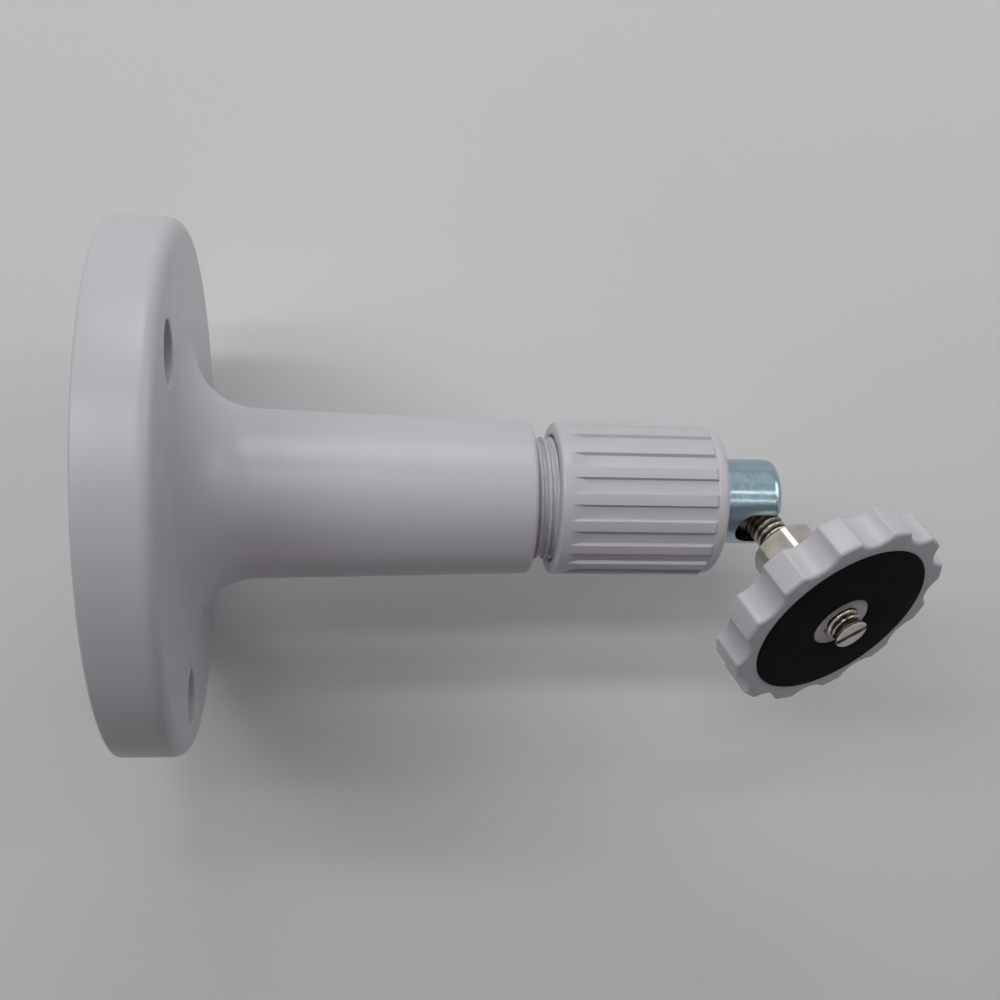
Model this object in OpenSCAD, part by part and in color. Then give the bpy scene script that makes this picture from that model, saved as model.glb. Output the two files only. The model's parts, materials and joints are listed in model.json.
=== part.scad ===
// Wall bracket for a small camera: round wall plate with a tapered arm, a ribbed clamp collar,
// a slotted steel socket with a ball joint, and a scalloped lock wheel around a tripod stud.
// The arm runs along +X from the wall, and the wall face is the plane x = 0.

/* [Wall plate] */
// Diameter of the round wall plate
plate_d = 95; // [84:1:120]
// Thickness of the wall plate at its rim
plate_t = 12; // [10:0.5:16]
// Rounding of the plate's front edge
plate_round = 2.8; // [1:0.1:3.6]
// Rounding of the plate's back edge
plate_back_round = 0.6; // [0.2:0.1:1.2]
// Wall of the hollow plate
plate_wall = 3; // [2:0.1:3.6]

/* [Wall screws] */
// Number of screw holes around the plate
screw_count = 3; // [3:1:4]
// Distance from the plate's edge to the screw circle
screw_inset = 10.5; // [9.5:0.1:13]
// Angle of the first screw hole
screw_angle = 55; // [0:1:120]
// Diameter of each screw hole
screw_hole_d = 4.5; // [3.5:0.1:5.5]
// Diameter of the counterbore for the screw's head
screw_head_d = 10.4; // [8:0.1:11]
// Depth of the counterbore
screw_head_depth = 7.5; // [4:0.1:8.5]
// Wall of the boss around each counterbore
boss_wall = 2.3; // [1.5:0.1:3]
// Thickness of the stiffening ribs behind the plate
rib_t = 2; // [1.2:0.1:3]
// How far the ribs stay below the wall face
rib_set = 1; // [0.5:0.1:2]

/* [Arm] */
// Radius of the flare between plate and arm
root_fillet = 12; // [8:0.5:14]
// Diameter of the arm where the flare ends
arm_root_d = 30.7; // [29:0.1:34]
// Diameter of the arm at its free end
arm_tip_d = 28.2; // [26:0.1:29]
// Length of the arm from the plate's face to its free end
arm_l = 61.4; // [45:0.2:90]
// Rounding of the arm's end edge
arm_end_round = 1; // [0.4:0.1:1.5]
// Wall of the arm around its hollow core
arm_wall = 3.2; // [2.4:0.1:4.5]

/* [Spigot] */
// Outside diameter of the thread on the spigot
thread_d = 22.8; // [21:0.1:23.4]
// Pitch of the thread
thread_pitch = 1.5; // [1.25:0.05:2]
// Depth of the thread
thread_depth = 0.8; // [0.5:0.05:1]
// Length of the spigot beyond the arm's end
spigot_l = 22.6; // [18:0.2:23.4]
// Wall of the spigot under its thread
spigot_wall = 2.6; // [1.8:0.1:4]
// Thickness of the spigot's closed end
spigot_end_wall = 3.5; // [2.5:0.1:6]

/* [Clamp collar] */
// Outside diameter of the collar
collar_d = 28.4; // [27.6:0.1:31]
// Length of the collar
collar_l = 31.1; // [29:0.1:36]
// Gap between the arm's end and the collar
collar_gap = 4; // [2:0.1:6]
// Length of the plain nose in front of the collar's grip
collar_nose_l = 2.4; // [2.2:0.1:4]
// How far the nose is set below the grip
collar_nose_drop = 0.5; // [0.2:0.05:0.6]
// Rounding of the nose's front edge
collar_front_round = 1.6; // [0.8:0.1:2]
// Rounding of the collar's back edge
collar_back_round = 0.6; // [0.2:0.1:0.8]
// Thickness of the collar's front lip
lip_t = 3.5; // [2.8:0.1:4.5]
// Number of grip grooves
groove_count = 18; // [12:1:20]
// Width of each grip groove
groove_w = 2.75; // [1.8:0.05:3.4]
// Depth of each grip groove
groove_depth = 0.7; // [0.3:0.05:0.9]
// Plain band behind the grooves
groove_back_band = 2; // [1:0.1:4]
// Length of the grooves' sloping run-out
groove_runout = 2.5; // [1:0.1:5]
// Angle of the first groove
groove_angle = 0.6; // [-10:0.1:10]
// Room between the collar's bore and the thread
thread_room = 0.3; // [0.3:0.05:0.4]

/* [Socket] */
// Outside diameter of the socket sleeve
sleeve_d = 16; // [15.4:0.1:17]
// Length of sleeve that stands out of the collar
sleeve_out = 11.7; // [9:0.1:14]
// Rounding of the sleeve's front edge
sleeve_round = 1.6; // [0.5:0.1:1.8]
// Diameter of the sleeve's flange inside the collar
flange_d = 22; // [19:0.1:22.2]
// Thickness of the sleeve's flange
flange_t = 2.6; // [1.5:0.1:3]
// Length of the sleeve's tail behind its flange
tail_l = 0.8; // [0.4:0.1:1]
// Distance of the ball's centre behind the sleeve's front end
ball_set = 4.8; // [4.2:0.05:5]
// Diameter of the ball
ball_d = 12.7; // [12:0.1:12.9]
// Chamfer around the sleeve's mouth
mouth_chamfer = 0.5; // [0.2:0.05:0.8]
// Room on each side of the stud in the slot
slot_room = 0.35; // [0.3:0.05:0.6]
// Distance of the pressure pin's front edge behind the ball's centre
pin_set = 3.8; // [3:0.1:4.6]

/* [Stud] */
// Tilt of the stud away from the arm's axis
stud_tilt = 69.4; // [0:0.1:90]
// Turn of the slot and stud around the arm's axis
stud_roll = 44.9; // [-180:0.1:180]
// Diameter of the stud
stud_d = 6.35; // [6:0.05:6.4]
// Distance from the ball's centre to the stud's tip
stud_out = 35.3; // [34.5:0.1:38]
// Depth of the stud's root behind the ball's centre
stud_sink = 2; // [1:0.1:3]
// Length of plain stud that stands free beyond the relief
stud_free = 2.7; // [2:0.1:2.8]
// Length of the thread relief below the free end
relief_l = 0.9; // [0.6:0.1:1.2]
// Depth of the thread relief
relief_depth = 0.7; // [0.4:0.05:0.9]
// Chamfer of the stud's tip
tip_chamfer = 0.5; // [0.2:0.05:0.8]
// Width of the screwdriver slot in the tip
tip_slot_w = 1.2; // [0.8:0.05:1.6]
// Depth of the screwdriver slot in the tip
tip_slot_depth = 1.6; // [0.8:0.05:2]
// Turn of the screwdriver slot on the stud
tip_slot_angle = 20; // [0:1:180]

/* [Nut] */
// Width of the nut across its flats
nut_af = 11.11; // [10:0.01:11.2]
// Height of the nut
nut_h = 5.5; // [4.5:0.05:6]
// Distance from the ball's centre to the nut
nut_set = 12.4; // [12:0.1:13]
// Turn of the nut on the stud
nut_angle = 47; // [0:1:60]
// Height of the chamfer at the nut's corners
nut_chamfer = 0.6; // [0.3:0.05:0.9]
// How far the nut's round end faces stay inside its flats
nut_face_inset = 0.33; // [0.1:0.01:0.6]

/* [Lock wheel] */
// Diameter of the wheel over its lobes
wheel_d = 42.6; // [40:0.1:50]
// Thickness of the wheel
wheel_t = 7.35; // [6.5:0.05:8]
// Number of finger notches
notch_count = 12; // [8:1:14]
// Depth of each finger notch
notch_depth = 1.8; // [1:0.05:2.2]
// Radius of each finger notch
notch_r = 4.5; // [3:0.1:5]
// Angle of the first notch
notch_angle = 0; // [0:1:30]
// Rounding of the wheel's edges
wheel_round = 0.7; // [0.2:0.05:0.9]
// Diameter of the hub behind the wheel
hub_d = 14; // [13:0.1:16]
// Length of the hub between nut and wheel
hub_l = 6.75; // [6.2:0.05:7.2]
// Depth of the hollow in the wheel's back
wheel_hollow_depth = 4; // [2:0.1:4.6]
// Wall around the hollow in the wheel's back
wheel_rim = 3; // [2:0.1:4]
// Wall between the hub and the hollow
hub_band = 1.5; // [0.5:0.1:2.5]

/* [Pad] */
// Diameter of the pad
pad_d = 34.2; // [30:0.1:36]
// Diameter of the hole in the pad
pad_hole_d = 11.4; // [9:0.1:14]
// Thickness of the pad
pad_t = 1.2; // [1:0.05:1.5]
// How far the pad stands above the wheel's face
pad_proud = 0.3; // [0.1:0.05:0.6]

/* [Fits] */
// Radial clearance of turning fits
run_gap = 0.06; // [0.03:0.01:0.09]
// Flat clearance between faces that turn on each other
face_gap = 0.04; // [0.02:0.01:0.08]

/* [Hidden] */
$fn = 96;
over = 1;

plate_r = plate_d / 2;
plate_floor = plate_t - plate_wall;
screw_r = plate_r - screw_inset;
boss_r = screw_head_d / 2 + boss_wall;
arm_root_r = arm_root_d / 2;
arm_tip_r = arm_tip_d / 2;
flare_end = plate_t + root_fillet;
arm_end = plate_t + arm_l;
arm_land = arm_end - 1.5 * arm_end_round;
core_mouth_r = arm_root_r + arm_wall / 2;
core_ring_t = rib_t;

thread_r = thread_d / 2;
thread_root_r = thread_r - thread_depth;
spigot_end = arm_end + spigot_l;
core_tip_r = thread_root_r - spigot_wall;
core_end = spigot_end - spigot_end_wall;
ridge_foot = 0.4 * thread_pitch;
ridge_crest = 0.12 * thread_pitch;
ridge_start = arm_end + 0.67 * thread_pitch;
ridge_count = floor((spigot_l - 2 * thread_pitch) / thread_pitch);

collar_r = collar_d / 2;
collar_back = arm_end + collar_gap;
collar_front = collar_back + collar_l;
nose_start = collar_front - collar_nose_l;
nose_r = collar_r - collar_nose_drop;
collar_bore_r = thread_r + thread_room;
lip_back = collar_front - lip_t;

sleeve_r = sleeve_d / 2;
sleeve_end = collar_front + sleeve_out;
flange_r = flange_d / 2;
flange_front = lip_back - face_gap;
flange_back = flange_front - flange_t;
sleeve_tail = flange_back - tail_l;
lip_hole_r = sleeve_r + run_gap;
ball_x = sleeve_end - ball_set;
ball_r = ball_d / 2;
seat_r = ball_r + run_gap;
sleeve_bore_r = seat_r + run_gap;
pin_r = sleeve_bore_r - run_gap;
pin_front = ball_x - pin_set;

stud_r = stud_d / 2;
stud_hole_r = stud_r + run_gap;
slot_w = 2 * (stud_r + slot_room);
free_start = stud_out - tip_chamfer - stud_free;
wheel_back = nut_set + nut_h + hub_l;
wheel_face = wheel_back + wheel_t;
wheel_r = wheel_d / 2;
hub_r = hub_d / 2;
pad_r = pad_d / 2;
pad_hole_r = pad_hole_d / 2;
pad_seat = wheel_face - (pad_t - pad_proud);
pad_face = wheel_face + pad_proud;

// Turns a profile drawn as (radius, distance) around the arm's axis
module turned_on_arm() {
    rotate([0, 90, 0])
        rotate_extrude()
            children();
}

// Places a shape drawn along +Z on the stud, with its zero at the ball's centre
module on_stud() {
    translate([ball_x, 0, 0])
        rotate([stud_roll, 0, 0])
            rotate([0, 90 - stud_tilt, 0])
                children();
}

// The sliver outside one rounded corner of a profile; side is 1 for its lower and -1 for its upper corner
module corner_waste(r, h, round_r, side) {
    difference() {
        translate([r - round_r, side > 0 ? h - over : h - round_r])
            square([round_r + over, round_r + over]);
        translate([r - round_r, h + side * round_r])
            circle(r = round_r);
    }
}

// Profile of a disc from h0 to h1 with rounded outer corners
module disc_profile(r, h0, h1, round0, round1) {
    difference() {
        translate([0, h0])
            square([r, h1 - h0]);
        corner_waste(r, h0, round0, 1);
        corner_waste(r, h1, round1, -1);
    }
}

// Concave flare between the plate's face and the arm
module flare_profile() {
    difference() {
        translate([0, plate_t - over])
            square([arm_root_r + root_fillet, root_fillet + over]);
        translate([arm_root_r + root_fillet, flare_end])
            circle(r = root_fillet);
    }
}

// Tapered arm with a short straight land and a rounded end
module arm_profile() {
    difference() {
        polygon([
            [0, flare_end - over],
            [arm_root_r, flare_end - over],
            [arm_root_r, flare_end],
            [arm_tip_r, arm_land],
            [arm_tip_r, arm_end],
            [0, arm_end]
        ]);
        corner_waste(arm_tip_r, arm_end, arm_end_round, -1);
    }
}

// Spigot core with parallel thread ridges
module spigot_profile() {
    translate([0, arm_end - over])
        square([thread_root_r, spigot_l + over]);
    for (i = [0 : ridge_count - 1]) {
        translate([0, ridge_start + i * thread_pitch])
            polygon([
                [thread_root_r - thread_depth, -ridge_foot],
                [thread_root_r, -ridge_foot],
                [thread_r, -ridge_crest],
                [thread_r, ridge_crest],
                [thread_root_r, ridge_foot],
                [thread_root_r - thread_depth, ridge_foot]
            ]);
    }
}

// Hollow of the plate, arm and spigot, open to the wall
module core_profile() {
    translate([0, -over])
        square([plate_r - plate_wall, plate_floor + over]);
    polygon([
        [0, plate_floor - over],
        [core_mouth_r, plate_floor - over],
        [core_mouth_r, plate_floor],
        [arm_root_r - arm_wall, flare_end],
        [core_tip_r, core_end],
        [0, core_end]
    ]);
}

// Places its children at each wall screw
module at_screws() {
    for (i = [0 : screw_count - 1]) {
        rotate([screw_angle + i * 360 / screw_count, 0, 0])
            translate([0, screw_r, 0])
                rotate([0, 90, 0])
                    children();
    }
}

// Stiffening ribs behind the plate, from the ring around the core to the rim
module plate_ribs() {
    rib_start = core_mouth_r + core_ring_t / 2;
    rib_end = plate_r - plate_wall / 2;
    for (i = [0 : 2 * screw_count - 1]) {
        rotate([screw_angle + i * 180 / screw_count, 0, 0])
            translate([rib_set, rib_start, -rib_t / 2])
                cube([plate_floor - rib_set + 0.4 * over, rib_end - rib_start, rib_t]);
    }
}

// Ring around the mouth of the arm's core, which joins the ribs
module core_ring() {
    turned_on_arm()
        translate([core_mouth_r, rib_set / 2])
            square([core_ring_t, plate_floor - rib_set / 2 + 0.7 * over]);
}

module wall_base() {
    color("whitesmoke")
    difference() {
        union() {
            difference() {
                turned_on_arm() {
                    disc_profile(plate_r, 0, plate_t, plate_back_round, plate_round);
                    flare_profile();
                    arm_profile();
                    spigot_profile();
                }
                turned_on_arm()
                    core_profile();
            }
            at_screws()
                cylinder(r = boss_r, h = plate_floor + over / 2);
            core_ring();
            plate_ribs();
        }
        at_screws() {
            translate([0, 0, -over])
                cylinder(d = screw_hole_d, h = plate_t + 2 * over);
            translate([0, 0, plate_t - screw_head_depth])
                cylinder(d = screw_head_d, h = screw_head_depth + over);
        }
    }
}

// One grip groove, flat at the bottom with a sloping run-out at its back end
module grip_groove() {
    groove_back = collar_back + groove_back_band;
    groove_front = nose_start + collar_nose_drop / 3;
    ramp = groove_runout / groove_depth;
    linear_extrude(height = groove_w, center = true)
        polygon([
            [groove_back - ramp * over, collar_r + over],
            [groove_back + groove_runout, collar_r - groove_depth],
            [groove_front, collar_r - groove_depth],
            [groove_front, collar_r + over]
        ]);
}

// Outline of the collar: a grip with a bevelled front edge and a slightly smaller rounded nose
module collar_profile() {
    difference() {
        polygon([
            [0, collar_back],
            [collar_r, collar_back],
            [collar_r, nose_start - collar_nose_drop],
            [nose_r, nose_start],
            [nose_r, collar_front],
            [0, collar_front]
        ]);
        corner_waste(collar_r, collar_back, collar_back_round, 1);
        corner_waste(nose_r, collar_front, collar_front_round, -1);
    }
}

module clamp_collar() {
    color("whitesmoke")
    difference() {
        turned_on_arm()
            difference() {
                collar_profile();
                translate([0, collar_back - over])
                    square([collar_bore_r, lip_back - collar_back + over]);
                translate([0, lip_back - over])
                    square([lip_hole_r, lip_t + 2 * over]);
            }
        for (i = [0 : groove_count - 1]) {
            rotate([groove_angle + i * 360 / groove_count, 0, 0])
                grip_groove();
        }
    }
}

module socket_sleeve() {
    color("lightsteelblue")
    difference() {
        turned_on_arm()
            difference() {
                union() {
                    disc_profile(sleeve_r, sleeve_tail, sleeve_end, tail_l / 4, sleeve_round);
                    disc_profile(flange_r, flange_back, flange_front, flange_t / 8, flange_t / 8);
                }
                translate([0, sleeve_tail - over])
                    square([sleeve_bore_r, ball_x - sleeve_tail + over]);
                translate([0, ball_x])
                    circle(r = seat_r);
                mouth_cone();
            }
        translate([ball_x, 0, 0])
            rotate([stud_roll, 0, 0]) {
                cylinder(d = slot_w, h = sleeve_r + over);
                translate([0, -slot_w / 2, 0])
                    cube([ball_set + over, slot_w, sleeve_r + over]);
            }
    }
}

// Chamfer of the sleeve's mouth, where the seat breaks through the front end
module mouth_cone() {
    mouth_r = sqrt(seat_r * seat_r - ball_set * ball_set);
    polygon([
        [0, sleeve_end - mouth_chamfer],
        [mouth_r, sleeve_end - mouth_chamfer],
        [mouth_r + 2 * mouth_chamfer, sleeve_end + mouth_chamfer],
        [0, sleeve_end + mouth_chamfer]
    ]);
}

module pressure_pin() {
    color("gainsboro")
    turned_on_arm()
        difference() {
            translate([0, spigot_end])
                square([pin_r, pin_front - spigot_end]);
            translate([0, ball_x])
                circle(r = seat_r);
        }
}

module joint_ball() {
    color("darkgray")
    difference() {
        translate([ball_x, 0, 0])
            sphere(r = ball_r);
        on_stud()
            translate([0, 0, -stud_sink])
                cylinder(r = stud_hole_r, h = stud_sink + ball_d);
    }
}

module threaded_stud() {
    color("silver")
    on_stud()
        difference() {
            rotate_extrude()
                polygon([
                    [0, face_gap - stud_sink],
                    [stud_r, face_gap - stud_sink],
                    [stud_r, free_start - relief_l],
                    [stud_r - relief_depth, free_start - relief_l],
                    [stud_r - relief_depth, free_start],
                    [stud_r, free_start],
                    [stud_r, stud_out - tip_chamfer],
                    [stud_r - tip_chamfer, stud_out],
                    [0, stud_out]
                ]);
            rotate([0, 0, tip_slot_angle])
                translate([-stud_d, -tip_slot_w / 2, stud_out - tip_slot_depth])
                    cube([2 * stud_d, tip_slot_w, tip_slot_depth + over]);
        }
}

module jam_nut() {
    color("silver")
    on_stud()
        translate([0, 0, nut_set])
            difference() {
                intersection() {
                    rotate([0, 0, nut_angle])
                        cylinder(r = nut_af / sqrt(3), h = nut_h, $fn = 6);
                    nut_chamfer_body();
                }
                translate([0, 0, -over])
                    cylinder(r = stud_hole_r, h = nut_h + 2 * over);
            }
}

// Turned body that bevels the nut's corners at both ends
module nut_chamfer_body() {
    face_r = nut_af / 2 - nut_face_inset;
    corner_r = nut_af / sqrt(3);
    outer_r = corner_r + over;
    outer_h = nut_chamfer * (outer_r - face_r) / (corner_r - face_r);
    rotate_extrude()
        polygon([
            [0, 0],
            [face_r, 0],
            [outer_r, outer_h],
            [outer_r, nut_h - outer_h],
            [face_r, nut_h],
            [0, nut_h]
        ]);
}

module lock_wheel() {
    color("whitesmoke")
    on_stud()
        difference() {
            rotate_extrude()
                difference() {
                    union() {
                        disc_profile(wheel_r, wheel_back, wheel_face, wheel_round, wheel_round);
                        translate([0, wheel_back - hub_l])
                            square([hub_r, hub_l + over]);
                    }
                    translate([hub_r + hub_band, wheel_back - over])
                        square([wheel_r - notch_depth - wheel_rim - hub_r - hub_band,
                            wheel_hollow_depth + over]);
                    translate([pad_hole_r - run_gap, pad_seat])
                        square([pad_r - pad_hole_r + 2 * run_gap, pad_t + over]);
                    translate([0, wheel_back - hub_l - over])
                        square([stud_hole_r, hub_l + wheel_t + 2 * over]);
                }
            for (i = [0 : notch_count - 1]) {
                rotate([0, 0, notch_angle + i * 360 / notch_count])
                    translate([wheel_r - notch_depth + notch_r, 0, wheel_back - over])
                        cylinder(r = notch_r, h = wheel_t + 2 * over);
            }
        }
}

module grip_pad() {
    color("black")
    on_stud()
        translate([0, 0, pad_seat])
            difference() {
                cylinder(r = pad_r, h = pad_t);
                translate([0, 0, -over])
                    cylinder(r = pad_hole_r, h = pad_t + 2 * over);
            }
}

wall_base();
clamp_collar();
socket_sleeve();
pressure_pin();
joint_ball();
threaded_stud();
jam_nut();
lock_wheel();
grip_pad();
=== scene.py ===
import bpy
import bmesh
import json
import math
from mathutils import Matrix, Vector


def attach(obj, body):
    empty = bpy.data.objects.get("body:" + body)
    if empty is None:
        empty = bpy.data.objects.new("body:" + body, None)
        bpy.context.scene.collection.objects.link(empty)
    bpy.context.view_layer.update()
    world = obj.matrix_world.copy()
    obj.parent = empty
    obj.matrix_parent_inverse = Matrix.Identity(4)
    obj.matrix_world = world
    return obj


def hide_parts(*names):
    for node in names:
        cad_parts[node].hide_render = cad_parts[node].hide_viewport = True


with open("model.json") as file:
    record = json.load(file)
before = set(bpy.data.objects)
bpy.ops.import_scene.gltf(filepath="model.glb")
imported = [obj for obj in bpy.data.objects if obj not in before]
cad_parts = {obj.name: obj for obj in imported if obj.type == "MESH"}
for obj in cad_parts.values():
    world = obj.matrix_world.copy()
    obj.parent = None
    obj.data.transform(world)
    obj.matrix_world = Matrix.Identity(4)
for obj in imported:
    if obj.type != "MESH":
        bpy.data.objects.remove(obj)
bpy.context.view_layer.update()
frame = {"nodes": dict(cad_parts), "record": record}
nodes = frame["nodes"]
scene = bpy.context.scene
MM = 0.001

# Sizes in millimetres and angles in degrees, the same as in the part's source
PLATE_R, PLATE_T, PLATE_WALL = 47.5, 12.0, 3.0
PLATE_ROUND, PLATE_BACK_ROUND = 2.8, 0.6
SCREWS, SCREW_R, SCREW_ANGLE = 3, 37.0, 55.0
HEAD_R, HEAD_DEPTH, HOLE_R, BOSS_R = 5.2, 7.5, 2.25, 7.5
RIB_T, RIB_SET = 2.0, 1.0
ARM_ROOT_R, ARM_TIP_R, ARM_END, ARM_WALL, ARM_ROUND = 15.35, 14.1, 73.4, 3.2, 1.0
FLARE_R = 12.0
THREAD_R, THREAD_DEPTH, THREAD_PITCH = 11.4, 0.8, 1.5
SPIGOT_END, SPIGOT_WALL, SPIGOT_END_WALL = 96.0, 2.6, 3.5
COLLAR_R, COLLAR_BACK, COLLAR_FRONT, COLLAR_BACK_ROUND = 14.2, 77.4, 108.5, 0.6
COLLAR_BORE_R, LIP_T, LIP_HOLE_R = 11.7, 3.5, 8.06
NOSE_L, NOSE_DROP, NOSE_ROUND = 2.4, 0.5, 1.6
GROOVES, GROOVE_W, GROOVE_DEPTH, GROOVE_ANGLE = 18, 2.75, 0.7, 0.6
GROOVE_BACK_BAND, GROOVE_RUNOUT = 2.0, 2.5
BALL_X, STUD_TILT, STUD_ROLL = 115.4, 69.4, 44.9
STUD_R, STUD_ROOT, STUD_OUT = 3.175, -1.96, 35.3
SLOT_W, SLOT_DEPTH, SLOT_ANGLE = 1.2, 1.6, 20.0
NUT_BACK, NUT_H, NUT_AF, NUT_ANGLE, NUT_INSET = 12.4, 5.5, 11.11, 47.0, 0.33
HUB_R, HUB_BAND = 7.0, 1.5
WHEEL_BACK, WHEEL_FACE, WHEEL_R, WHEEL_ROUND = 24.65, 32.0, 21.3, 0.7
WHEEL_HOLLOW_DEPTH, WHEEL_RIM = 4.0, 3.0
NOTCHES, NOTCH_R, NOTCH_DEPTH = 12, 4.5, 1.8
PAD_R, PAD_HOLE_R, PAD_SEAT, PAD_FACE = 17.1, 5.7, 31.1, 32.3
RUN_GAP = 0.06

# Drawn here only: the stud's thread, its plain end, and how far the painted shade at the stud's root, next
# to the ball, reaches along it
STUD_PITCH, STUD_THREAD_DEPTH = 1.27, 0.65
STUD_END_T = 0.85
ROOT_SHADE_END, ROOT_SHADE_FADE = 8.7, 1.0

# Edge breaks that only the eye needs, and the radius of a ring that closes to a point
FINE, SOFT = 0.15, 0.35
AXIS_R = 1e-5

# Points around each turned form
BASE_SEGS, RING_SEGS, THREAD_SEGS, HOLE_SEGS, STUD_SEGS, PAD_SEGS = 288, 144, 144, 72, 72, 192

# Thread rows in a turn, and the share of an S-curve in a thread's flanks
THREAD_ROWS, FLANK_ROUND = 12, 0.35

# Distances in metres below which points merge and faces count as slivers
MERGE_DIST, SLIVER_DIST = 1e-7, 1e-8

# Local frames: along the arm (angle 0 at +Y, turning to +Z) and along the stud
ARM = Matrix(((0, 0, 1, 0), (1, 0, 0, 0), (0, 1, 0, 0), (0, 0, 0, 1)))
STUD = (Matrix.Translation((BALL_X, 0, 0)) @ Matrix.Rotation(math.radians(STUD_ROLL), 4, "X")
        @ Matrix.Rotation(math.radians(90 - STUD_TILT), 4, "Y"))


# Mesh helpers: a part is a pair of points and faces in millimetres

def arc(centre_r, centre_h, radius, start_deg, end_deg, steps):
    """Points of an arc in a profile, angles in degrees from the radius direction."""
    points = []
    for i in range(steps + 1):
        angle = math.radians(start_deg + (end_deg - start_deg) * i / steps)
        points.append((centre_r + radius * math.cos(angle), centre_h + radius * math.sin(angle)))
    return points


def polar(radius, angle, height):
    return radius * math.cos(angle), radius * math.sin(angle), height


def rings_to_mesh(rings, closed=True):
    """Joins rings of equal length with quads; closed also joins the last ring to the first."""
    points, faces = [], []
    count = len(rings[0])
    for ring in rings:
        points.extend(ring)
    for i in range(len(rings) if closed else len(rings) - 1):
        a, b = i * count, ((i + 1) % len(rings)) * count
        for j in range(count):
            k = (j + 1) % count
            faces.append((a + j, a + k, b + k, b + j))
    return points, faces


def round_ring(radius, height, segs):
    return [polar(radius, 2 * math.pi * j / segs, height) for j in range(segs)]


def lathe(profile, segs, closed=True):
    """Turns a profile of (radius, height) points around the local Z axis."""
    return rings_to_mesh([round_ring(r, h, segs) for r, h in profile], closed)


def block(x0, x1, y0, y1, z0, z1):
    points = [(x, y, z) for x in (x0, x1) for y in (y0, y1) for z in (z0, z1)]
    faces = [(0, 1, 3, 2), (4, 6, 7, 5), (0, 4, 5, 1), (2, 3, 7, 6), (0, 2, 6, 4), (1, 5, 7, 3)]
    return points, faces


def moved(part, matrix):
    points, faces = part
    return [tuple(matrix @ Vector(p)) for p in points], faces


def joined(parts):
    all_points, all_faces = [], []
    for points, faces in parts:
        first = len(all_points)
        all_points.extend(points)
        all_faces.extend(tuple(i + first for i in face) for face in faces)
    return all_points, all_faces


def clean(mesh):
    """Merges points that coincide, drops faces without area and turns every face outward."""
    bm = bmesh.new()
    bm.from_mesh(mesh)
    bmesh.ops.remove_doubles(bm, verts=bm.verts, dist=MERGE_DIST)
    bmesh.ops.dissolve_degenerate(bm, edges=bm.edges, dist=SLIVER_DIST)
    bmesh.ops.recalc_face_normals(bm, faces=bm.faces)
    bm.to_mesh(mesh)
    bm.free()


def make_object(name, part, matrix):
    """Object in metres from a part in a local frame."""
    points, faces = part
    mesh = bpy.data.meshes.new(name)
    mesh.from_pydata([tuple(matrix @ Vector(p) * MM) for p in points], [], faces)
    mesh.validate()
    clean(mesh)
    piece = bpy.data.objects.new(name, mesh)
    scene.collection.objects.link(piece)
    return piece


def shaded(piece, sharp_deg):
    """Shades a piece smooth, apart from edges that bend by more than sharp_deg."""
    mesh = piece.data
    mesh.polygons.foreach_set("use_smooth", [True] * len(mesh.polygons))
    mesh.set_sharp_from_angle(angle=math.radians(sharp_deg))
    mesh.update()
    return piece


def cut(piece, cutter):
    """Subtracts a cutter object from a piece and removes the cutter."""
    modifier = piece.modifiers.new("cut", "BOOLEAN")
    modifier.operation = "DIFFERENCE"
    modifier.solver = "EXACT"
    modifier.object = cutter
    graph = bpy.context.evaluated_depsgraph_get()
    mesh = bpy.data.meshes.new_from_object(piece.evaluated_get(graph))
    clean(mesh)
    old = piece.data
    piece.modifiers.clear()
    piece.data = mesh
    bpy.data.meshes.remove(old)
    bpy.data.objects.remove(cutter)


def smoothstep(low, high, x):
    t = min(1.0, max(0.0, (x - low) / (high - low)))
    return t * t * (3 - 2 * t)


def thread_rings(start, end, pitch, root, crest, crest_share, foot_share, segs, lead_in, lead_out):
    """Rings of a right-hand helical thread, faded out over lead_in and lead_out at its ends.

    The shares give half the width of the thread's crest and foot as a share of its pitch.
    """
    rows = max(2, int(round((end - start) / pitch * THREAD_ROWS)))
    rings = []
    for i in range(rows + 1):
        h = start + (end - start) * i / rows
        fade = 1.0
        if lead_in > 0:
            fade = min(fade, smoothstep(start, start + lead_in, h))
        if lead_out > 0:
            fade = min(fade, 1.0 - smoothstep(end - lead_out, end, h))
        ring = []
        for j in range(segs):
            t = j / segs
            off_crest = abs(((h - start) / pitch - t) % 1.0 - 0.5)
            rise = min(1.0, max(0.0, (foot_share - off_crest) / (foot_share - crest_share)))
            rise = (1 - FLANK_ROUND) * rise + FLANK_ROUND * smoothstep(0.0, 1.0, rise)
            ring.append(polar(root + (crest - root) * rise * fade, 2 * math.pi * t, h))
        rings.append(ring)
    return rings


# Wall base: turned shell with cut screw openings, boss cups, ribs and a helical thread

def screw_places():
    """Shifts from the arm's axis to the wall screws."""
    angles = [math.radians(SCREW_ANGLE + 360 / SCREWS * i) for i in range(SCREWS)]
    return [Matrix.Translation(polar(SCREW_R, angle, 0)) for angle in angles]


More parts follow.
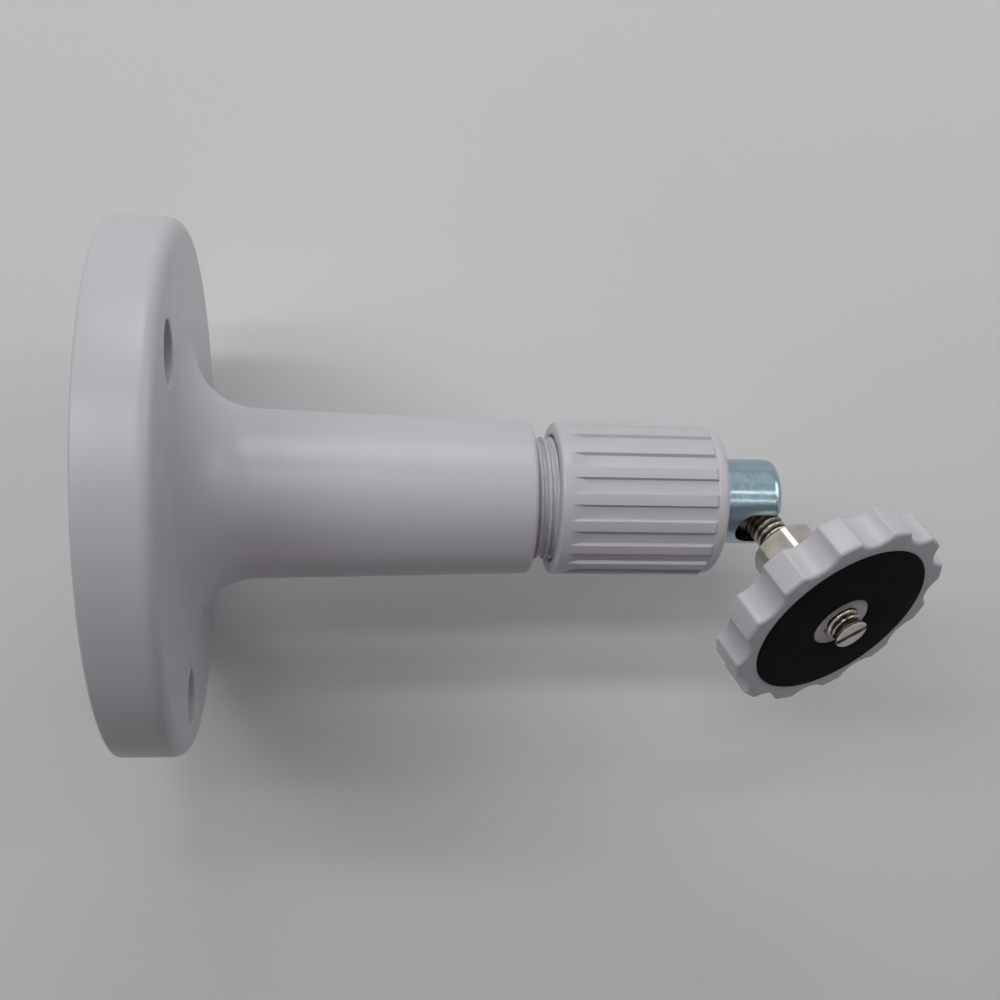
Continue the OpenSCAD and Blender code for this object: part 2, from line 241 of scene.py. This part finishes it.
def base_profile():
    floor_h = PLATE_T - PLATE_WALL
    hollow_r = PLATE_R - PLATE_WALL
    flare_end = PLATE_T + FLARE_R
    arm_land = ARM_END - 1.5 * ARM_ROUND
    spigot_r = THREAD_R - THREAD_DEPTH - RUN_GAP
    core_tip_r = THREAD_R - THREAD_DEPTH - SPIGOT_WALL
    core_end = SPIGOT_END - SPIGOT_END_WALL
    core_axis_r = 0.4
    face_border = 1.0
    back_steps, rim_steps, flare_steps, taper_steps, tip_steps = 5, 14, 28, 8, 8
    profile = [(hollow_r, 0.0), (PLATE_R - 2 * PLATE_BACK_ROUND, 0.0)]
    profile += arc(PLATE_R - PLATE_BACK_ROUND, PLATE_BACK_ROUND, PLATE_BACK_ROUND, -90, 0, back_steps)
    profile += [(PLATE_R, PLATE_T / 4), (PLATE_R, PLATE_T / 2)]
    profile += arc(PLATE_R - PLATE_ROUND, PLATE_T - PLATE_ROUND, PLATE_ROUND, 0, 90, rim_steps)
    profile.append((PLATE_R - PLATE_ROUND - face_border, PLATE_T))
    profile.append((ARM_ROOT_R + FLARE_R + face_border, PLATE_T))
    profile += arc(ARM_ROOT_R + FLARE_R, flare_end, FLARE_R, 270, 180, flare_steps)
    for i in range(1, taper_steps + 1):
        k = i / taper_steps
        profile.append((ARM_ROOT_R + (ARM_TIP_R - ARM_ROOT_R) * k, flare_end + (arm_land - flare_end) * k))
    profile += arc(ARM_TIP_R - ARM_ROUND, ARM_END - ARM_ROUND, ARM_ROUND, 0, 90, tip_steps)
    profile += [(THREAD_R + SOFT, ARM_END), (spigot_r, ARM_END), (spigot_r, SPIGOT_END - SOFT)]
    profile += [(spigot_r - SOFT, SPIGOT_END), (core_axis_r, SPIGOT_END), (core_axis_r, core_end)]
    profile += [(core_tip_r, core_end), (ARM_ROOT_R - ARM_WALL, flare_end)]
    profile += [(ARM_ROOT_R + ARM_WALL / 2, floor_h), (hollow_r - SOFT, floor_h), (hollow_r, floor_h - SOFT)]
    return profile


def boss_cups():
    """Counterbore, screw hole and boss of each wall screw, with a soft rim at the plate's face."""
    shelf = PLATE_T - HEAD_DEPTH
    top = PLATE_T - PLATE_WALL + FINE
    rim_steps = 5
    profile = arc(HEAD_R + SOFT, PLATE_T - SOFT, SOFT, 90, 180, rim_steps)
    profile += [(HEAD_R, shelf), (HOLE_R + SOFT, shelf), (HOLE_R, shelf - SOFT)]
    profile += [(HOLE_R, 0.0), (BOSS_R, 0.0), (BOSS_R, top)]
    return [moved(lathe(profile, HOLE_SEGS), place) for place in screw_places()]


def plate_ribs():
    """Ribs between the ring around the core and the rim; every second one is broken by a boss."""
    ring_r = ARM_ROOT_R + ARM_WALL / 2
    top = PLATE_T - PLATE_WALL + SOFT
    start, end = ring_r + RIB_T / 2, PLATE_R - PLATE_WALL / 2
    parts = []
    for i in range(2 * SCREWS):
        turn = Matrix.Rotation(math.radians(SCREW_ANGLE + 180 / SCREWS * i), 4, "Z")
        spans = [(start, end)]
        if i % 2 == 0:
            spans = [(start, SCREW_R - BOSS_R + SOFT), (SCREW_R + BOSS_R - SOFT, end)]
        for r0, r1 in spans:
            parts.append(moved(block(r0, r1, -RIB_T / 2, RIB_T / 2, RIB_SET, top), turn))
    low = RIB_SET / 2
    ring = [(ring_r, top), (ring_r, low + SOFT), (ring_r + SOFT, low), (ring_r + RIB_T - SOFT, low)]
    ring += [(ring_r + RIB_T, low + SOFT), (ring_r + RIB_T, top)]
    parts.append(lathe(ring, RING_SEGS))
    return parts


def spigot_thread():
    """Helical thread as a closed sleeve, with its inside sunk in the spigot's wall."""
    start, end = ARM_END - FINE, SPIGOT_END - SOFT
    root = THREAD_R - THREAD_DEPTH
    rings = thread_rings(start, end, THREAD_PITCH, root, THREAD_R, crest_share=0.12, foot_share=0.42,
                         segs=THREAD_SEGS, lead_in=0.5, lead_out=1.2)
    rings += [round_ring(root - SOFT, h, THREAD_SEGS) for h in (end, start)]
    return rings_to_mesh(rings)


def build_base():
    shell = make_object("bracket_base", lathe(base_profile(), BASE_SEGS), ARM)
    low, high = PLATE_T - PLATE_WALL - RIB_T, PLATE_T + RIB_T
    opening_r = HEAD_R + SOFT - FINE / 10
    opening = [(AXIS_R, low), (opening_r, low), (opening_r, high), (AXIS_R, high)]
    hole = lathe(opening, HOLE_SEGS, closed=False)
    cut(shell, make_object("cutter", joined([moved(hole, place) for place in screw_places()]), ARM))
    more = make_object("base_more", joined(boss_cups() + plate_ribs() + [spigot_thread()]), ARM)
    bm = bmesh.new()
    bm.from_mesh(shell.data)
    bm.from_mesh(more.data)
    bm.to_mesh(shell.data)
    bm.free()
    bpy.data.objects.remove(more)
    return shaded(shell, sharp_deg=32)


# Clamp collar: ribbed ring with flat grooves, a fine crease behind its nose and a rounded front

def collar_section():
    """Angles around the collar with the depth of the grip below its outside there."""
    half = math.degrees(math.asin(GROOVE_W / 2 / COLLAR_R))
    pitch = 360 / GROOVES
    on_flat, on_rib = (0.0, 1.6, 3.2, 4.4), (7.6, 8.8)
    near_edge = (-0.75, -0.45, -0.18, 0.0, 0.2, 0.5, 0.95)
    edge_in, edge_out = 0.5, 0.45
    offsets = [*on_flat, *(half + d for d in near_edge), *on_rib]
    angles = sorted({round(side * o, 4) for o in offsets for side in (-1, 1)} | {pitch / 2})
    section = []
    for g in range(GROOVES):
        for d in angles:
            flat = COLLAR_R - (COLLAR_R - GROOVE_DEPTH) / math.cos(math.radians(d))
            depth = flat * (1 - smoothstep(half - edge_in, half + edge_out, abs(d)))
            section.append((math.radians(GROOVE_ANGLE + pitch * g + d), depth))
    return section


def build_collar():
    section = collar_section()
    nose_r = COLLAR_R - NOSE_DROP
    nose_start = COLLAR_FRONT - NOSE_L
    grip_end = nose_start - NOSE_DROP
    groove_back = COLLAR_BACK + GROOVE_BACK_BAND
    groove_full = groove_back + GROOVE_RUNOUT
    nose_bend = COLLAR_FRONT - NOSE_ROUND
    lip_back = COLLAR_FRONT - LIP_T
    back = COLLAR_BACK + COLLAR_BACK_ROUND
    crease, crease_share = 0.12, 0.1
    back_steps, runout_steps, grip_steps, drop_steps, nose_steps = 5, 8, 7, 4, 10

    def ring(r, h, share=0.0):
        """Ring of outside radius r, with the grooves cut to a share of their depth."""
        return [polar(r - share * depth, angle, h) for angle, depth in section]

    rings = [ring(COLLAR_BORE_R, back), ring(COLLAR_BORE_R + SOFT, COLLAR_BACK)]
    for r, h in arc(COLLAR_R - COLLAR_BACK_ROUND, back, COLLAR_BACK_ROUND, -90, 0, back_steps):
        rings.append(ring(r, h))
    rings.append(ring(COLLAR_R, groove_back - SOFT))
    for i in range(runout_steps + 1):
        rings.append(ring(COLLAR_R, groove_back + GROOVE_RUNOUT * i / runout_steps, i / runout_steps))
    for i in range(1, grip_steps + 1):
        rings.append(ring(COLLAR_R, groove_full + (grip_end - FINE - groove_full) * i / grip_steps, 1.0))
    for i in range(drop_steps + 1):
        drop = NOSE_DROP * i / drop_steps
        rings.append(ring(COLLAR_R - drop, grip_end + drop, 1 - drop / GROOVE_DEPTH))
    rings.append(ring(nose_r - crease, nose_start + FINE / 2, crease_share))
    rings.append(ring(nose_r - crease, nose_start + FINE))
    rings.append(ring(nose_r, nose_start + SOFT))
    for r, h in arc(nose_r - NOSE_ROUND, nose_bend, NOSE_ROUND, 0, 90, nose_steps):
        rings.append(ring(r, h))
    rings += [ring(LIP_HOLE_R + SOFT, COLLAR_FRONT), ring(LIP_HOLE_R, COLLAR_FRONT - SOFT)]
    rings += [ring(LIP_HOLE_R, lip_back), ring(COLLAR_BORE_R, lip_back)]
    return shaded(make_object("grip_collar", rings_to_mesh(rings), ARM), sharp_deg=40)


# Stud with a right-hand thread and a plain slotted end

def build_stud():
    minor = STUD_R - STUD_THREAD_DEPTH
    end_r = STUD_R - FINE / 4
    end_back = STUD_OUT - STUD_END_T
    rings = [round_ring(r, STUD_ROOT, STUD_SEGS) for r in (AXIS_R, minor, minor + SOFT)]
    rings += thread_rings(STUD_ROOT + FINE, end_back - SOFT, STUD_PITCH, minor, STUD_R, crest_share=0.07,
                          foot_share=0.47, segs=STUD_SEGS, lead_in=0.0, lead_out=0.6)
    end = [(minor + FINE, end_back), (end_r, end_back + FINE), (end_r, STUD_OUT - FINE)]
    end += [(end_r - FINE, STUD_OUT), (STUD_R / 2, STUD_OUT), (AXIS_R, STUD_OUT)]
    rings += [round_ring(r, h, STUD_SEGS) for r, h in end]
    stud = make_object("screw_stud", rings_to_mesh(rings, closed=False), STUD)
    turn = Matrix.Rotation(math.radians(SLOT_ANGLE), 4, "Z")
    slot_end, slot_top = STUD_OUT - SLOT_DEPTH, STUD_OUT + SLOT_DEPTH
    slot = block(-2 * STUD_R, 2 * STUD_R, -SLOT_W / 2, SLOT_W / 2, slot_end, slot_top)
    cut(stud, make_object("cutter", moved(slot, turn), STUD))
    return shaded(stud, sharp_deg=40)


# Hexagon nut with turned chamfers

def build_nut():
    sides, points_per_side = 6, 20
    count = sides * points_per_side
    flat = NUT_AF / 2
    corner = flat / math.cos(math.pi / sides)
    face = flat - NUT_INSET
    bore = STUD_R + RUN_GAP
    front = NUT_BACK + NUT_H
    reach = corner + SOFT
    chamfer_slope = 0.5
    chamfer_h = chamfer_slope * (reach - face)
    levels = 14

    def ring(h, cap):
        """Hexagon ring whose radius is kept below cap."""
        points = []
        for j in range(count):
            t = 2 * math.pi * j / count
            off_flat = t % (2 * math.pi / sides) - math.pi / sides
            r = min(flat / math.cos(off_flat), corner - SOFT, cap)
            points.append(polar(r, t + math.radians(NUT_ANGLE), h))
        return points

    rings = [ring(NUT_BACK + SOFT, bore), ring(NUT_BACK, bore + SOFT)]
    for i in range(levels + 1):
        k = i / levels
        rings.append(ring(NUT_BACK + chamfer_h * k, face + (reach - face) * k))
    for i in range(levels, -1, -1):
        k = i / levels
        rings.append(ring(front - chamfer_h * k, face + (reach - face) * k))
    rings += [ring(front, bore + SOFT), ring(front - SOFT, bore)]
    return shaded(make_object("hex_nut", rings_to_mesh(rings), STUD), sharp_deg=30)


# Lock wheel with scalloped rim, hub, hollow back and the pad's recess

def rim_radius(t):
    """Radius of the scalloped rim at angle t, with softened corners between lobes and notches."""
    step = 2 * math.pi / NOTCHES
    off = (t + step / 2) % step - step / 2
    centre = WHEEL_R - NOTCH_DEPTH + NOTCH_R
    side = centre * math.sin(off)
    if abs(side) >= NOTCH_R:
        return WHEEL_R
    notch = centre * math.cos(off) - math.sqrt(NOTCH_R ** 2 - side ** 2)
    blend = max(SOFT - abs(notch - WHEEL_R), 0.0)
    return min(notch, WHEEL_R) - blend ** 2 / (4 * SOFT)


def build_wheel():
    points_per_notch = 60
    round_steps = 6
    count = NOTCHES * points_per_notch
    points = []
    for j in range(count):
        t = 2 * math.pi * j / count
        points.append(Vector((math.cos(t), math.sin(t))) * rim_radius(t))
    normals = []
    for j in range(count):
        along = points[(j + 1) % count] - points[j - 1]
        normals.append(Vector((along.y, -along.x)).normalized())

    def edge(h, inset):
        """Ring along the scalloped rim, moved in by inset."""
        return [(p.x - v.x * inset, p.y - v.y * inset, h) for p, v in zip(points, normals)]

    def ring(r, h):
        """Round ring with a point for each point of the rim."""
        return [(r * p.x / p.length, r * p.y / p.length, h) for p in points]

    seat_r = PAD_R + RUN_GAP
    core_r = PAD_HOLE_R - RUN_GAP
    bore = STUD_R + RUN_GAP
    hub_back = NUT_BACK + NUT_H
    hollow_in, hollow_out = HUB_R + HUB_BAND, WHEEL_R - NOTCH_DEPTH - WHEEL_RIM
    hollow_h = WHEEL_BACK + WHEEL_HOLLOW_DEPTH
    rings = []
    for x, h in arc(-WHEEL_ROUND, WHEEL_BACK + WHEEL_ROUND, WHEEL_ROUND, -90, 0, round_steps):
        rings.append(edge(h, -x))
    rings.append(edge((WHEEL_BACK + WHEEL_FACE) / 2, 0.0))
    for x, h in arc(-WHEEL_ROUND, WHEEL_FACE - WHEEL_ROUND, WHEEL_ROUND, 0, 90, round_steps):
        rings.append(edge(h, -x))
    rings += [ring(seat_r + 2 * SOFT, WHEEL_FACE), ring(seat_r + FINE, WHEEL_FACE)]
    rings += [ring(seat_r, WHEEL_FACE - FINE), ring(seat_r, PAD_SEAT), ring(core_r, PAD_SEAT)]
    rings += [ring(core_r, WHEEL_FACE - FINE), ring(core_r - FINE, WHEEL_FACE)]
    rings += [ring(bore + SOFT, WHEEL_FACE), ring(bore, WHEEL_FACE - SOFT), ring(bore, hub_back)]
    rings += [ring(HUB_R - SOFT, hub_back), ring(HUB_R, hub_back + SOFT)]
    rings += [ring(HUB_R, WHEEL_BACK - SOFT), ring(HUB_R + SOFT, WHEEL_BACK)]
    rings += [ring(hollow_in - FINE, WHEEL_BACK), ring(hollow_in, WHEEL_BACK + FINE)]
    rings += [ring(hollow_in, hollow_h - SOFT), ring(hollow_in + SOFT, hollow_h)]
    rings += [ring(hollow_out - SOFT, hollow_h), ring(hollow_out, hollow_h - SOFT)]
    rings += [ring(hollow_out, WHEEL_BACK + SOFT), ring(hollow_out + SOFT, WHEEL_BACK)]
    return shaded(make_object("thumb_wheel", rings_to_mesh(rings), STUD), sharp_deg=42)


# Grip pad: thin ring with broken edges

def build_pad():
    edge_steps = 4
    profile = arc(PAD_HOLE_R + FINE, PAD_FACE - FINE, FINE, 180, 90, edge_steps)
    profile += arc(PAD_R - FINE, PAD_FACE - FINE, FINE, 90, 0, edge_steps)
    profile += [(PAD_R, PAD_SEAT), (PAD_HOLE_R, PAD_SEAT)]
    return shaded(make_object("grip_ring", lathe(profile, PAD_SEGS), STUD), sharp_deg=40)


# Shader helpers, where tree is the node tree of a material or of the world

# Most values of a noise texture lie between these
NOISE_LOW, NOISE_HIGH = 0.3, 0.7


def new_material(name):
    material = bpy.data.materials.new(name)
    material.use_nodes = True
    tree = material.node_tree
    tree.nodes.clear()
    output = tree.nodes.new("ShaderNodeOutputMaterial")
    shader = tree.nodes.new("ShaderNodeBsdfPrincipled")
    tree.links.new(shader.outputs["BSDF"], output.inputs["Surface"])
    return material, tree, shader


def object_point(tree):
    return tree.nodes.new("ShaderNodeTexCoord").outputs["Object"]


def mapped(tree, vector, scale=(1, 1, 1), rotation=(0, 0, 0), location=(0, 0, 0)):
    node = tree.nodes.new("ShaderNodeMapping")
    node.inputs["Scale"].default_value = scale
    node.inputs["Rotation"].default_value = rotation
    node.inputs["Location"].default_value = location
    tree.links.new(vector, node.inputs["Vector"])
    return node.outputs["Vector"]


def noise(tree, vector, scale, detail=4.0, rough=0.55):
    node = tree.nodes.new("ShaderNodeTexNoise")
    node.inputs["Scale"].default_value = scale
    node.inputs["Detail"].default_value = detail
    node.inputs["Roughness"].default_value = rough
    tree.links.new(vector, node.inputs["Vector"])
    return node.outputs["Fac"]


def cloudy(tree, factor, dark, light, high=NOISE_HIGH):
    """Colour that goes from dark to light over a noise's usual range."""
    node = tree.nodes.new("ShaderNodeValToRGB")
    stops = ((NOISE_LOW, dark), (high, light))
    for element, (position, color) in zip(node.color_ramp.elements, stops):
        element.position = position
        element.color = (*color, 1)
    tree.links.new(factor, node.inputs["Fac"])
    return node.outputs["Color"]


def to_range(tree, value, low, high, out_low, out_high):
    node = tree.nodes.new("ShaderNodeMapRange")
    node.inputs["From Min"].default_value = low
    node.inputs["From Max"].default_value = high
    node.inputs["To Min"].default_value = out_low
    node.inputs["To Max"].default_value = out_high
    tree.links.new(value, node.inputs["Value"])
    return node.outputs["Result"]


def combined(tree, operation, a, b):
    node = tree.nodes.new("ShaderNodeMath")
    node.operation = operation
    tree.links.new(a, node.inputs[0])
    tree.links.new(b, node.inputs[1])
    return node.outputs["Value"]


def tinted(tree, factor, dark, light):
    """Colour from a fixed dark one to a linked light one by a factor."""
    node = tree.nodes.new("ShaderNodeMix")
    node.data_type = "RGBA"
    tree.links.new(factor, node.inputs["Factor"])
    start, end = [s for s in node.inputs if s.type == "RGBA"]
    start.default_value = (*dark, 1)
    tree.links.new(light, end)
    return [s for s in node.outputs if s.type == "RGBA"][0]


def bump(tree, height, strength, distance, normal=None):
    node = tree.nodes.new("ShaderNodeBump")
    node.inputs["Strength"].default_value = strength
    node.inputs["Distance"].default_value = distance
    tree.links.new(height, node.inputs["Height"])
    if normal is not None:
        tree.links.new(normal, node.inputs["Normal"])
    return node.outputs["Normal"]


def set_color(tree, shader, color):
    tree.links.new(color, shader.inputs["Base Color"])


def set_rough(tree, shader, factor, low, high):
    """Roughness that goes from low to high over a noise's usual range."""
    rough = to_range(tree, factor, NOISE_LOW, NOISE_HIGH, low, high)
    tree.links.new(rough, shader.inputs["Roughness"])


def set_normal(tree, shader, normal):
    tree.links.new(normal, shader.inputs["Normal"])


# Materials

def plastic_material():
    """Satin moulded plastic with a faint cloud, a fine grain and slight sink waves."""
    material, tree, shader = new_material("white_plastic")
    point = object_point(tree)
    cloud = noise(tree, point, 28.0, 3.0)
    set_color(tree, shader, cloudy(tree, cloud, (0.588, 0.574, 0.612), (0.618, 0.604, 0.642)))
    set_rough(tree, shader, noise(tree, point, 160.0, 5.0), 0.30, 0.40)
    shader.inputs["IOR"].default_value = 1.5
    wave = bump(tree, noise(tree, point, 55.0, 2.0, 0.4), strength=0.10, distance=0.0006)
    grain = bump(tree, noise(tree, point, 2600.0, 2.0, 0.5), strength=0.12, distance=0.00006, normal=wave)
    set_normal(tree, shader, grain)
    return material


def zinc_material():
    """Bluish zinc plating on a turned sleeve: fine rings around the arm's axis."""
    material, tree, shader = new_material("zinc_steel")
    shader.inputs["Metallic"].default_value = 1.0
    point = object_point(tree)
    turning = noise(tree, mapped(tree, point, scale=(1, 0.15, 0.15)), 4000.0, 3.0, 0.6)
    cloud = noise(tree, point, 260.0)
    set_color(tree, shader, cloudy(tree, cloud, (0.34, 0.46, 0.52), (0.43, 0.55, 0.60)))
    set_rough(tree, shader, turning, 0.14, 0.26)
    set_normal(tree, shader, bump(tree, turning, strength=0.3, distance=0.00004))
    return material


def nickel_material():
    """Warm nickel plating with painted shade: dark brown in the stud's thread valleys and over the stud's
    root next to the ball.
    """
    material, tree, shader = new_material("nickel_steel")
    shader.inputs["Metallic"].default_value = 1.0
    point = object_point(tree)
    to_stud = STUD.inverted()
    turn, shift = tuple(to_stud.to_euler()), tuple(to_stud.translation * MM)
    on_stud = mapped(tree, point, rotation=turn, location=shift)
    from_axis = tree.nodes.new("ShaderNodeVectorMath")
    from_axis.operation = "LENGTH"
    tree.links.new(mapped(tree, on_stud, scale=(1, 1, 0)), from_axis.inputs[0])
    split = tree.nodes.new("ShaderNodeSeparateXYZ")
    tree.links.new(on_stud, split.inputs["Vector"])
    along = split.outputs["Z"]
    valley_r, crest_r = STUD_R - STUD_THREAD_DEPTH + FINE, STUD_R - FINE / 2
    end_back = STUD_OUT - STUD_END_T
    # Painted shade: the thread valleys and the stud's root next to the ball go dark brown, fading out past
    # the root; the plain end face stays plated
    root_shade_level = 0.1
    crest = to_range(tree, from_axis.outputs["Value"], valley_r * MM, crest_r * MM, 0.0, 1.0)
    past_root_shade = to_range(tree, along, (ROOT_SHADE_END - ROOT_SHADE_FADE) * MM, ROOT_SHADE_END * MM, root_shade_level, 1.0)
    end = to_range(tree, along, end_back * MM, (end_back + FINE) * MM, 0.0, 1.0)
    unshaded_share = combined(tree, "MAXIMUM", combined(tree, "MULTIPLY", crest, past_root_shade), end)
    cloud = noise(tree, point, 420.0)
    plating = cloudy(tree, cloud, (0.52, 0.495, 0.43), (0.62, 0.595, 0.53))
    # Painted shade colour, dark brown, mixed with the plating
    set_color(tree, shader, tinted(tree, unshaded_share, (0.05, 0.036, 0.025), plating))
    set_rough(tree, shader, cloud, 0.24, 0.36)
    set_normal(tree, shader, bump(tree, noise(tree, point, 2400.0, 3.0), strength=0.10, distance=0.00004))
    return material


def dark_steel_material():
    """Near-black smooth steel for the ball."""
    material, tree, shader = new_material("dark_steel")
    shader.inputs["Metallic"].default_value = 1.0
    point = object_point(tree)
    cloud = noise(tree, point, 350.0)
    set_color(tree, shader, cloudy(tree, cloud, (0.055, 0.055, 0.06), (0.1, 0.1, 0.11)))
    set_rough(tree, shader, cloud, 0.22, 0.36)
    set_normal(tree, shader, bump(tree, noise(tree, point, 2000.0, 3.0), strength=0.08, distance=0.00004))
    return material


def rubber_material():
    """Matt black rubber with a fine grain."""
    material, tree, shader = new_material("black_rubber")
    point = object_point(tree)
    cloud = noise(tree, point, 300.0)
    set_color(tree, shader, cloudy(tree, cloud, (0.0045, 0.0045, 0.0048), (0.008, 0.008, 0.0083), high=0.75))
    set_rough(tree, shader, cloud, 0.72, 0.86)
    shader.inputs["Specular IOR Level"].default_value = 0.06
    grain = noise(tree, point, 3200.0, 4.0, 0.6)
    set_normal(tree, shader, bump(tree, grain, strength=0.25, distance=0.00008))
    return material


def nylon_material():
    """Milky nylon of the hidden pressure pin."""
    material, tree, shader = new_material("nylon")
    point = object_point(tree)
    cloud = noise(tree, point, 180.0, 3.0)
    set_color(tree, shader, cloudy(tree, cloud, (0.60, 0.59, 0.55), (0.66, 0.65, 0.61)))
    set_rough(tree, shader, cloud, 0.5, 0.6)
    shader.inputs["Subsurface Weight"].default_value = 0.1
    set_normal(tree, shader, bump(tree, noise(tree, point, 1500.0, 3.0), strength=0.1, distance=0.00005))
    return material


def floor_material():
    """Plain pale table top."""
    material, tree, shader = new_material("table")
    cloud = noise(tree, object_point(tree), 3.0, 3.0)
    set_color(tree, shader, cloudy(tree, cloud, (0.80, 0.80, 0.795), (0.83, 0.83, 0.825)))
    shader.inputs["Roughness"].default_value = 0.6
    shader.inputs["Specular IOR Level"].default_value = 0.25
    return material


# Pieces: six drawn here in place of CAD nodes, and three CAD nodes that keep their shape

white = plastic_material()
nickel = nickel_material()
body_of = {}
for body, names in frame["record"]["behaviour"]["bodies"].items():
    for node in names:
        body_of[node] = body

for build, node, slot, material in (
        (build_base, "wall_base", "white_plastic", white),
        (build_collar, "clamp_collar", "white_plastic", white),
        (build_stud, "threaded_stud", "nickel_steel", nickel),
        (build_nut, "jam_nut", "nickel_steel", nickel),
        (build_wheel, "lock_wheel", "white_plastic", white),
        (build_pad, "grip_pad", "black_rubber", rubber_material())):
    piece = build()
    piece.data.materials.clear()
    piece.data.materials.append(material)
    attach(piece, body_of[node])
    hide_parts(node)

for node, material in (("socket_sleeve", zinc_material()), ("joint_ball", dark_steel_material()),
                       ("pressure_pin", nylon_material())):
    slots = nodes[node].data.materials
    if not slots:
        slots.append(material)
    for i in range(len(slots)):
        slots[i] = material

# Floor: a table top that the plate's rim stands on, clear of the wheel at every pose

FLOOR_HALF = 0.95
floor_z = -PLATE_R * MM
floor_mesh = bpy.data.meshes.new("floor")
corners = [(FLOOR_HALF * x, FLOOR_HALF * y, floor_z) for x, y in ((-1, -1), (1, -1), (1, 1), (-1, 1))]
floor_mesh.from_pydata(corners, [], [(0, 1, 2, 3)])
floor = bpy.data.objects.new("floor", floor_mesh)
scene.collection.objects.link(floor)
floor.data.materials.append(floor_material())

# Light: a dim pinkish room that the camera and gloss see as pale walls, with soft lamps around the bracket

ROOM_LIGHT, ROOM_COLOR = 0.015, (1.0, 0.8, 0.93)
ROOM_SEEN, ROOM_SEEN_COLOR = 0.5, (0.95, 0.98, 1.0)
LAMP_COLOR = (1.0, 1.0, 1.0)
WINDOW_COLOR = (0.98, 0.99, 1.0)
MIDDLE = Vector((0.06, 0.0, 0.0))

# Each lamp: name, lean from +Z and turn about Z in degrees, then in metres its distance, its shift along X,
# its width and its height, and last its watts and colour
LAMPS = (
    ("ceiling_strip", 16, 90, 1.0, -0.4, 0.9, 0.08, 1.45, LAMP_COLOR),
    ("ceiling_lamp", 28, 90, 1.0, -0.4, 0.9, 0.08, 2.35, LAMP_COLOR),
    ("streak_left", 24, 90, 1.0, 0.4, 0.5, 0.03, 0.3, LAMP_COLOR),
    ("streak_right", 2, 90, 1.0, 0.4, 0.5, 0.03, 0.2, LAMP_COLOR),
    ("window_middle", 64, 90, 1.0, 0.0, 0.5, 0.5, 2.4, WINDOW_COLOR),
    ("window_right", 60, 30, 0.6, 0.0, 0.3, 0.3, 0.55, WINDOW_COLOR),
    ("window_left", 48, 160, 1.0, 0.0, 0.5, 0.5, 1.15, WINDOW_COLOR),
    ("wall_fill", 82, -80, 1.0, 0.0, 0.8, 0.25, 0.35, ROOM_COLOR),
)


def make_room():
    """World that lights with one strength and is seen by the camera and by gloss with another."""
    world = bpy.data.worlds.new("room")
    scene.world = world
    world.use_nodes = True
    tree = world.node_tree
    lit = tree.nodes["Background"]
    lit.inputs["Color"].default_value = (*ROOM_COLOR, 1)
    lit.inputs["Strength"].default_value = ROOM_LIGHT
    seen = tree.nodes.new("ShaderNodeBackground")
    seen.inputs["Color"].default_value = (*ROOM_SEEN_COLOR, 1)
    seen.inputs["Strength"].default_value = ROOM_SEEN
    path = tree.nodes.new("ShaderNodeLightPath")
    factor = path.outputs["Is Camera Ray"]
    for kind in ("Is Glossy Ray", "Is Transmission Ray"):
        factor = combined(tree, "MAXIMUM", factor, path.outputs[kind])
    mix = tree.nodes.new("ShaderNodeMixShader")
    tree.links.new(factor, mix.inputs["Fac"])
    tree.links.new(lit.outputs["Background"], mix.inputs[1])
    tree.links.new(seen.outputs["Background"], mix.inputs[2])
    tree.links.new(mix.outputs["Shader"], tree.nodes["World Output"].inputs["Surface"])


def lamp_place(lean, turn, distance, shift_x):
    """Point around the arm's middle, leaning from +Z towards the turn angle in the XY plane."""
    lean, turn = math.radians(lean), math.radians(turn)
    away = Vector((math.sin(lean) * math.cos(turn), math.sin(lean) * math.sin(turn), math.cos(lean)))
    return MIDDLE + away * distance + Vector((shift_x, 0, 0))


def make_lamp(name, place, width, height, watts, color):
    """Soft lamp that faces the arm's middle, with its width along the arm."""
    light = bpy.data.lights.new(name, "AREA")
    light.shape = "RECTANGLE"
    light.size = width
    light.size_y = height
    light.energy = watts
    light.color = color
    back = (place - MIDDLE).normalized()
    side = (Vector((1, 0, 0)) - back * back.x).normalized()
    turn = Matrix((side, back.cross(side), back)).transposed().to_4x4()
    lamp = bpy.data.objects.new(name, light)
    lamp.matrix_world = Matrix.Translation(place) @ turn
    scene.collection.objects.link(lamp)


make_room()
for name, lean, turn, distance, shift_x, width, height, watts, color in LAMPS:
    make_lamp(name, lamp_place(lean, turn, distance, shift_x), width, height, watts, color)

# Camera: above the table, fitted to the photograph's outlines

CAMERA_RIGHT = Vector((0.991687, 0.014465, 0.127861))
CAMERA_UP = Vector((-0.002745, 0.995814, -0.091365))
CAMERA_BACK = Vector((-0.128647, 0.090254, 0.987575))
CAMERA_AT = Vector((0.038298, -0.001818, 0.231187))
SENSOR_MM, LENS_MM, LENS_SHIFT_Y = 36.0, 44.7453, 0.12
NEAREST_SEEN = 0.01

lens = bpy.data.cameras.new("camera")
lens.sensor_width = SENSOR_MM
lens.lens = LENS_MM
lens.shift_y = LENS_SHIFT_Y
lens.clip_start = NEAREST_SEEN
camera = bpy.data.objects.new("camera", lens)
camera.matrix_world = (Matrix.Translation(CAMERA_AT)
                       @ Matrix((CAMERA_RIGHT, CAMERA_UP, CAMERA_BACK)).transposed().to_4x4())
scene.collection.objects.link(camera)
scene.camera = camera
scene.view_settings.view_transform = "Standard"
